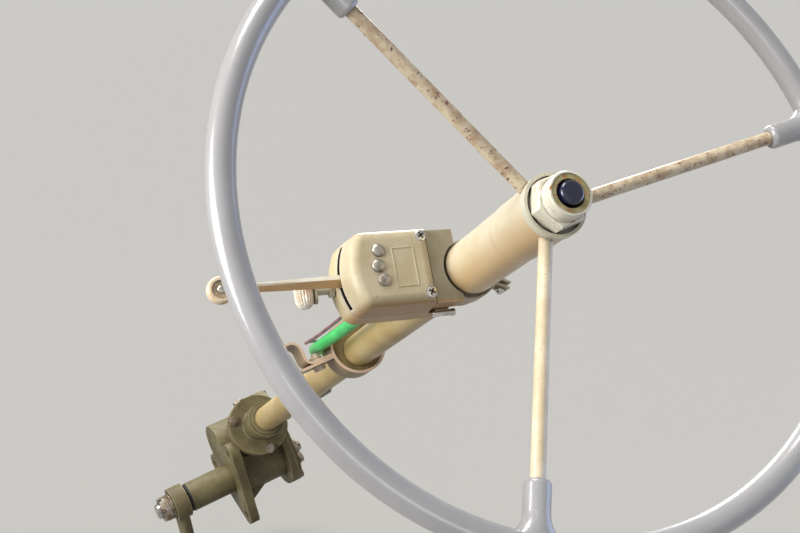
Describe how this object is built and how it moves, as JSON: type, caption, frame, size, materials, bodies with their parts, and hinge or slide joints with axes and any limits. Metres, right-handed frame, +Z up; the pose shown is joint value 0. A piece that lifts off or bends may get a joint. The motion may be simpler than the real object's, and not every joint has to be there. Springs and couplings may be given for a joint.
{
  "type": "steering wheel, column and steering gear of an army 4x4 car",
  "caption": "Spoked steering wheel on a raked column with a turn-signal switch, dash clamp, cam-and-lever steering gear and drop arm.",
  "frame": {"origin": "centre of the gear's bolt circle on its mounting face, on the sector shaft's axis, where the gear meets the inside of the left frame rail", "axes": "+X to the car's right, +Y forwards, +Z up; the column rises rearwards at 42 degrees above level"},
  "size_m": [0.438, 0.8944, 0.9743],
  "materials": {
    "rim_enamel": "worn satin enamel, grey khaki",
    "spoke_paint": "worn tan paint with rust specks",
    "hub_paint": "cream sand paint",
    "switch_paint": "sand paint, satin",
    "column_paint": "olive drab paint, aged",
    "gear_paint": "olive drab paint on a rough casting",
    "bolt_steel": "dull plated steel",
    "shaft_steel": "ground steel, oiled",
    "brass": "dull brass",
    "button": "glossy blue black",
    "bearing": "oiled bronze",
    "lever_paint": "worn sand paint",
    "lens": "cloudy cream lens",
    "loom_green": "bright green sleeve",
    "wire_dark": "faded red brown insulated wire",
    "connector": "black moulding",
    "seal": "black seal",
    "liner": "liner painted over with the column"
  },
  "bodies": {
    "column": {"column_jacket": "column_paint", "upper_bearing": "bearing", "switch_base": "switch_paint", "switch_cover": "switch_paint", "cover_screws": "bolt_steel", "clamp_band": "switch_paint", "band_screw": "bolt_steel", "switch_lever": "lever_paint", "lever_knob": "lever_paint", "lamp_holder": "lever_paint", "lamp_lens": "lens", "wire_loom": "loom_green", "lamp_wire": "wire_dark", "loom_connector": "connector", "loom_clip": "bolt_steel", "dash_bracket": "column_paint", "dash_strap": "column_paint", "jacket_liner": "liner", "dash_bolts": "bolt_steel", "gear_housing": "gear_paint", "side_cover": "gear_paint", "cover_bolts": "bolt_steel", "adjuster_screw": "bolt_steel", "adjuster_nut": "bolt_steel", "upper_cover": "gear_paint", "neck_bolts": "bolt_steel", "jacket_clamp": "gear_paint", "clamp_bolt": "bolt_steel", "filler_plug": "bolt_steel", "horn_tube": "brass", "shaft_seal": "seal"},
    "steering_wheel": {"wheel_rim": "rim_enamel", "spoke_1": "spoke_paint", "spoke_2": "spoke_paint", "spoke_3": "spoke_paint", "wheel_hub": "hub_paint", "hub_nut": "hub_paint", "horn_ring": "brass", "horn_button": "button", "steering_shaft": "shaft_steel"},
    "drop_arm": {"sector_shaft": "shaft_steel", "drop_arm": "gear_paint", "arm_nut": "bolt_steel", "ball_stud": "shaft_steel", "stud_nut": "bolt_steel"}
  },
  "joints": [
    {"name": "steering_turn", "type": "hinge", "parent": "column", "child": "steering_wheel", "pos_m": [0.046, -0.64979, 0.64428], "axis": [0, -0.7431, 0.6691], "range_deg": [-504, 504]},
    {"name": "drop_arm_swing", "type": "hinge", "parent": "column", "child": "drop_arm", "pos_m": [0, 0, 0], "axis": [1, 0, 0], "range_deg": [-36, 36]}
  ],
  "couplings": [
    {"joint": "drop_arm_swing", "follows": "steering_turn", "ratio": 0.071429}
  ]
}
